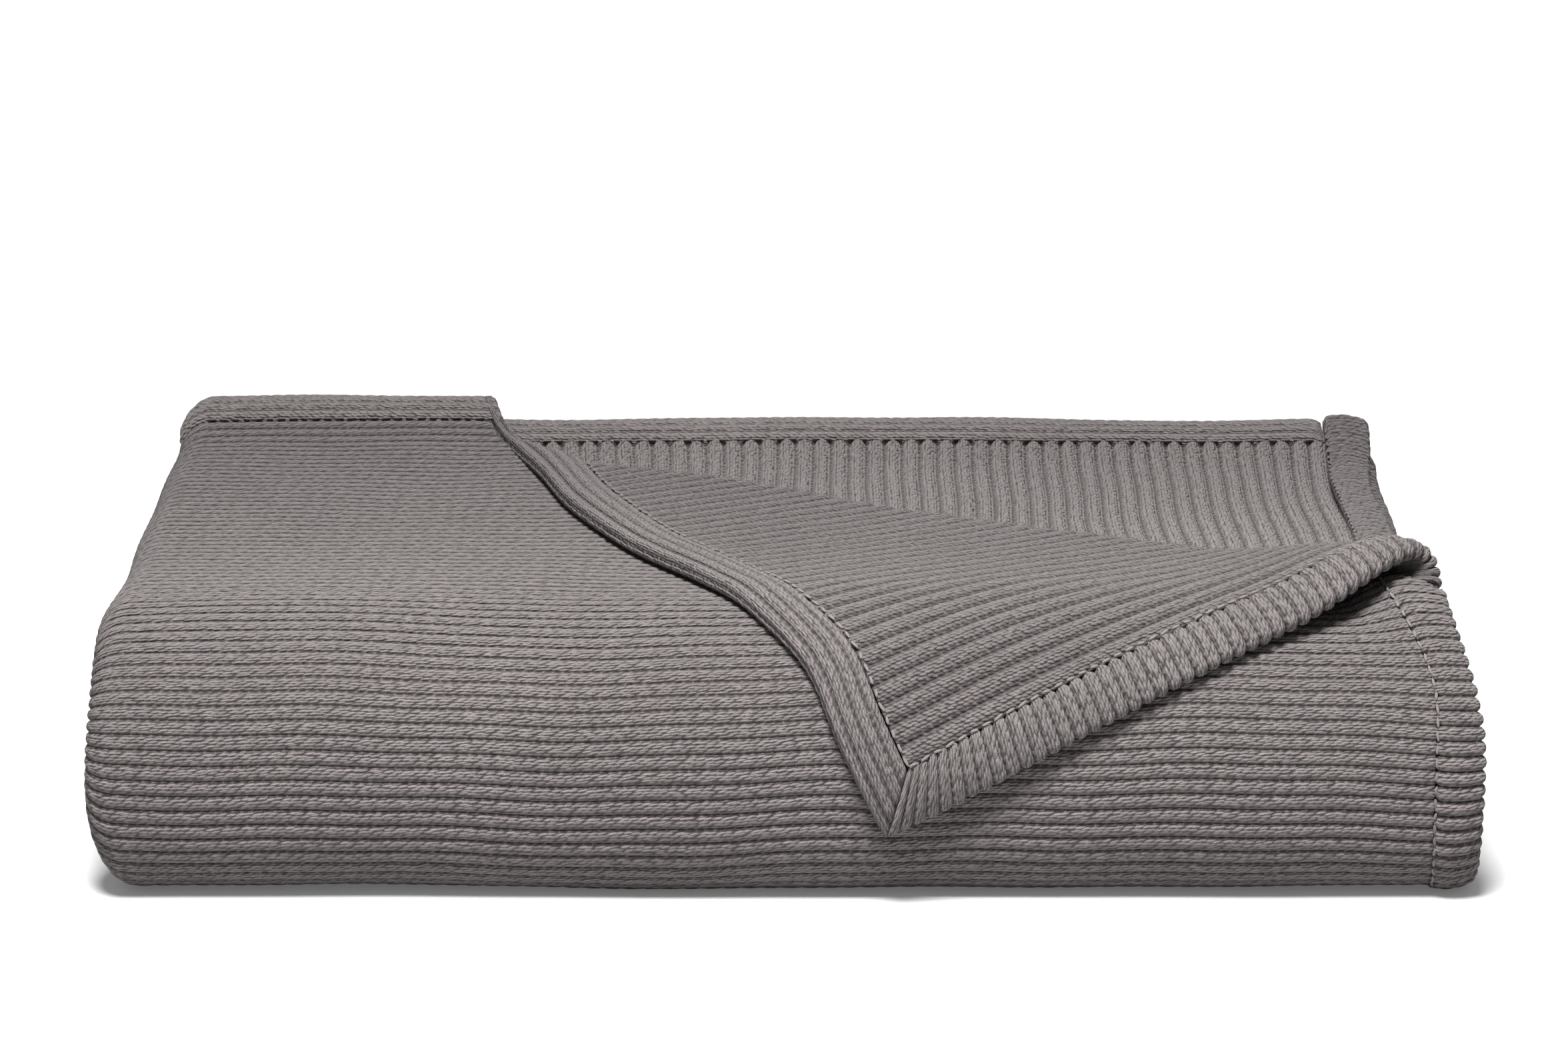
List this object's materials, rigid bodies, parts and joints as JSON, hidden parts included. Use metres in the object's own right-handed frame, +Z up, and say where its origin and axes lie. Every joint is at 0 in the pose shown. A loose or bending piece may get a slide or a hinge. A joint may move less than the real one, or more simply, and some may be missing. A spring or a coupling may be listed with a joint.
{
  "type": "folded throw blanket",
  "caption": "Heavy ribbed cotton throw folded to a quarter each way, with stitched hems, a rounded front fold and a top corner turned over the front.",
  "frame": {"origin": "centre of the footprint, on the surface that the blanket lies on", "axes": "+X along the width from the left fold to the right hem, +Y from the rounded front fold to the free hems at the back, +Z up"},
  "size_m": [0.445, 0.2893, 0.1019],
  "materials": {
    "cloth": "ribbed taupe-grey cotton, matt, with a soft nap",
    "hem": "the same cotton turned over and sewn down, matt",
    "thread": "spun sewing thread, matt"
  },
  "bodies": {
    "stack": {"back_fold_1": "cloth", "back_fold_2": "cloth", "back_fold_3": "cloth", "back_fold_4": "cloth", "back_hem_1": "hem", "back_hem_2": "hem", "back_hem_3": "hem", "back_hem_4": "hem", "back_hem_5": "hem", "back_hem_6": "hem", "back_hem_7": "hem", "back_hem_8": "hem", "back_hem_thread": "thread", "back_hem_turn": "hem", "front_fold_1": "cloth", "front_fold_2": "cloth", "front_fold_3": "cloth", "front_fold_4": "cloth", "front_fold_5": "cloth", "front_fold_6": "cloth", "front_fold_7": "cloth", "front_fold_8": "cloth", "left_fold_inner": "cloth", "left_fold_outer": "cloth", "ply_01": "cloth", "ply_02": "cloth", "ply_03": "cloth", "ply_04": "cloth", "ply_05": "cloth", "ply_06": "cloth", "ply_07": "cloth", "ply_08": "cloth", "ply_09": "cloth", "ply_10": "cloth", "ply_11": "cloth", "ply_12": "cloth", "ply_13": "cloth", "ply_14": "cloth", "ply_15": "cloth", "ply_16": "cloth", "right_fold": "cloth", "right_hem_1": "hem", "right_hem_2": "hem", "right_hem_3": "hem", "right_hem_4": "hem", "right_hem_thread": "thread"},
    "corner": {"corner_left_hem": "hem", "corner_panel": "cloth", "corner_right_hem": "hem", "corner_roll": "cloth", "corner_thread": "thread"},
    "corner_tip": {"corner_tip_left_hem": "hem", "corner_tip_panel": "cloth", "corner_tip_right_hem": "hem", "corner_tip_thread": "thread"}
  },
  "joints": [
    {"name": "corner_fold", "type": "hinge", "parent": "stack", "child": "corner", "pos_m": [0.062, -0.00025, 0.09162], "axis": [-0.8771, 0.4798, 0.0216], "range_deg": [0, 140]},
    {"name": "tip_bend", "type": "hinge", "parent": "corner", "child": "corner_tip", "pos_m": [0, -0.08415, 0.0942], "axis": [-1, 0, 0], "range_deg": [0, 50]}
  ],
  "couplings": [
    {"joint": "tip_bend", "follows": "corner_fold", "ratio": 0.35714}
  ]
}
